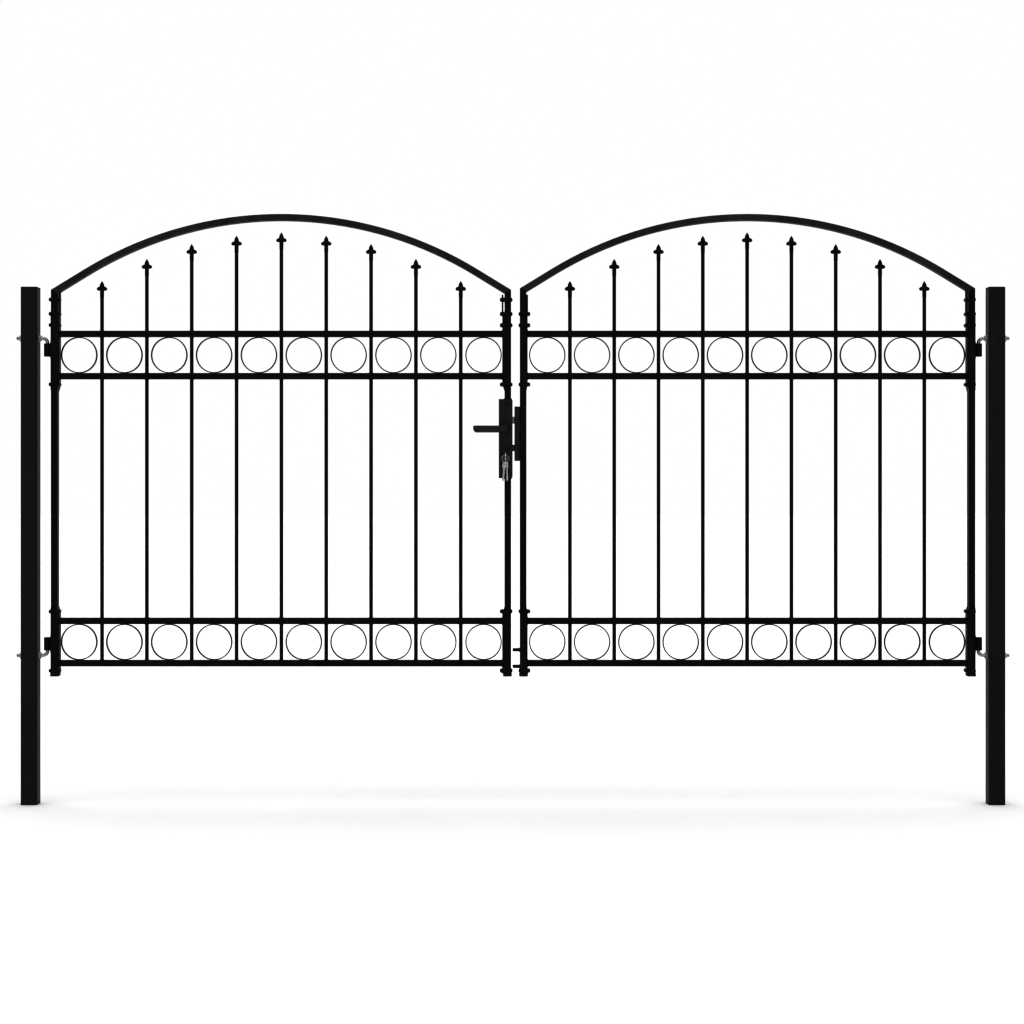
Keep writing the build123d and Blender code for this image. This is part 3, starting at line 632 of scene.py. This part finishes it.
# ---------------------------------------------------------------------------
# Button-head screws on the lock case, with a hexagon socket
# ---------------------------------------------------------------------------
def button_screw(soup, x, y, z, d, r=4.6, h=2.1, turn=0.2):
    n = 36
    rings = []
    for i in range(n):
        t = 2 * math.pi * i / n
        k = ((t + turn) % (math.pi / 3)) - math.pi / 6
        sock = r * 0.36 / math.cos(k)
        c, w = math.cos(t), math.sin(t)
        prof = [(sock, h * 0.15), (sock, h * 0.93), (r * 0.56, h), (r * 0.72, h * 0.93), (r * 0.87, h * 0.70),
                (r * 0.97, h * 0.36), (r, 0.12), (r * 0.98, -0.4), (0.3, -0.4), (0.3, h * 0.15)]
        rings.append([(x + c * q, y + d * v, z + w * q) for q, v in prof])
    soup.loops(rings, closed=True)


def boss(soup, x, y, z, d, r=10.6, h=1.3):
    """A low round boss on the case's face, with a shallow dish for the screw head."""
    turned(soup, [(0.0, 0.25), (5.6, 0.25), (6.3, h * 0.9), (7.2, h), (r - 1.5, h), (r - 0.55, h * 0.84),
                  (r - 0.12, h * 0.5), (r, 0.05), (r, -0.5), (0.0, -0.5)], (x, y, z), (0, d, 0), 56)


w, bosses = Soup(), Soup()
for y, d in ((-CASE_Y, -1), (CASE_Y, 1)):
    for x, z, turn in ((1461.8, 1225.8, 0.2), (1461.8, 1088.5, 0.9), (1461.8, 1007.2, 0.5)):
        boss(bosses, x, y, z, d)
        button_screw(w, x, y + d * 0.25, z, d, turn=turn)
w.piece("lock_case_screws", "left_leaf", "lock_coating", 35)
bosses.piece("lock_case_bosses", "left_leaf", "lock_coating", 40)

# ---------------------------------------------------------------------------
# Split ring: two close turns of wire
# ---------------------------------------------------------------------------
w = Soup()
turns, n, wire = 1.93, 150, 0.47
rings = []
for i in range(n + 1):
    a = 2 * math.pi * turns * i / n + 0.9
    side_step = (i / n - 0.5) * 0.95
    c = Vector((KEY_X + KEY_RING_R * math.cos(a), KEY_Y + side_step, KEY_Z + KEY_RING_R * math.sin(a)))
    out = Vector((math.cos(a), 0, math.sin(a)))
    k = 1.0 if 2 < i < n - 2 else 0.72
    rings.append([tuple(c + out * wire * 1.35 * k * math.cos(t) + Vector((0, 1, 0)) * wire * k * math.sin(t))
                  for t in (2 * math.pi * j / 10 for j in range(10))])
w.loops(rings)
w.piece("split_ring", "key_set", "nickel", replaces=["key_ring"])

# ---------------------------------------------------------------------------
# Floor, light and camera
# ---------------------------------------------------------------------------
me = bpy.data.meshes.new("floor")
n, reach = 24, 60.0
vs = [((i / n - 0.5) * 2 * reach + 1.475, (j / n - 0.5) * 2 * reach, 0.0) for j in range(n + 1) for i in range(n + 1)]
fs = [(j * (n + 1) + i, j * (n + 1) + i + 1, (j + 1) * (n + 1) + i + 1, (j + 1) * (n + 1) + i) for j in range(n) for i in range(n)]
me.from_pydata(vs, [], fs)
floor = bpy.data.objects.new("floor", me)
bpy.context.scene.collection.objects.link(floor)
fm = Mat("studio_floor")
fm.set("Base Color", fm.mix(fm.noise(2.0, 2.0, 0.5), (0.82, 0.82, 0.82), (0.84, 0.84, 0.84)))
fm.set("Roughness", 0.9)
fm.set("Specular IOR Level", 0.1)
me.materials.append(fm.mat)
floor.visible_glossy = False

world = bpy.data.worlds.new("studio")
bpy.context.scene.world = world
world.use_nodes = True
wt = world.node_tree
wt.nodes.clear()


def wnode(kind, **kw):
    nd = wt.nodes.new(kind)
    for k, v in kw.items():
        setattr(nd, k, v)
    return nd


def wrange(value, a, b, lo, hi):
    nd = wnode("ShaderNodeMapRange", interpolation_type="SMOOTHSTEP")
    for key, v in (("From Min", a), ("From Max", b), ("To Min", lo), ("To Max", hi)):
        nd.inputs[key].default_value = v
    wt.links.new(value, nd.inputs["Value"])
    return nd.outputs["Result"]


def wmath(op, a, b):
    nd = wnode("ShaderNodeMath", operation=op)
    for i, v in enumerate((a, b)):
        if isinstance(v, (int, float)):
            nd.inputs[i].default_value = v
        else:
            wt.links.new(v, nd.inputs[i])
    return nd.outputs[0]


tc = wnode("ShaderNodeTexCoord")
sep = wnode("ShaderNodeSeparateXYZ")
wt.links.new(tc.outputs["Generated"], sep.inputs[0])
X, Y, Z = sep.outputs
# A bright studio before and behind the gate, a brighter ceiling and floor, and dark wings at the sides
front = wmath("MULTIPLY", wrange(Y, -0.52, -0.86, 0.0, 0.60), wrange(Z, 0.75, 0.30, 0.0, 1.0))
back = wmath("MULTIPLY", wrange(Y, 0.50, 0.88, 0.0, 0.60), wrange(Z, 0.75, 0.30, 0.0, 1.0))
ceiling = wrange(Z, 0.40, 0.80, 0.0, 1.05)
ground = wrange(Z, -0.30, -0.75, 0.0, 0.80)
total = wmath("ADD", wmath("ADD", front, back), wmath("ADD", ceiling, ground))
total = wmath("ADD", total, 0.06)
soft = wnode("ShaderNodeBackground")
wt.links.new(total, soft.inputs["Strength"])
seen = wnode("ShaderNodeBackground")
seen.inputs["Color"].default_value = (1, 1, 1, 1)
seen.inputs["Strength"].default_value = 1.0
pick = wnode("ShaderNodeMixShader")
path = wnode("ShaderNodeLightPath")
wt.links.new(path.outputs["Is Camera Ray"], pick.inputs[0])
wt.links.new(soft.outputs[0], pick.inputs[1])
wt.links.new(seen.outputs[0], pick.inputs[2])
wout = wnode("ShaderNodeOutputWorld")
wt.links.new(pick.outputs[0], wout.inputs["Surface"])

sky = bpy.data.lights.new("overhead", "SUN")
sky.energy = 2.2
sky.angle = math.radians(100)
so = bpy.data.objects.new("overhead", sky)
bpy.context.scene.collection.objects.link(so)
so.location = (1.475, -1.0, 6.0)
so.rotation_euler = (math.radians(-8), 0, 0)
so.visible_glossy = False

FOCAL = 2130.0
DIST = FOCAL * 3.0577e-3
cam = bpy.data.cameras.new("camera")
cam.sensor_width = 36.0
cam.lens = 36.0 * FOCAL / 1024.0
cam.shift_x = -1.0 / 1024.0
cam.shift_y = -29.0 / 1024.0
cam.clip_start, cam.clip_end = 0.05, 200.0
co = bpy.data.objects.new("camera", cam)
bpy.context.scene.collection.objects.link(co)
co.location = (1.475, -DIST, 0.981)
co.rotation_euler = (math.pi / 2, 0, 0)
bpy.context.scene.camera = co

view = bpy.context.scene.view_settings
view.view_transform = "Standard"
view.look = "None"
view.exposure = 0.0
view.gamma = 0.5
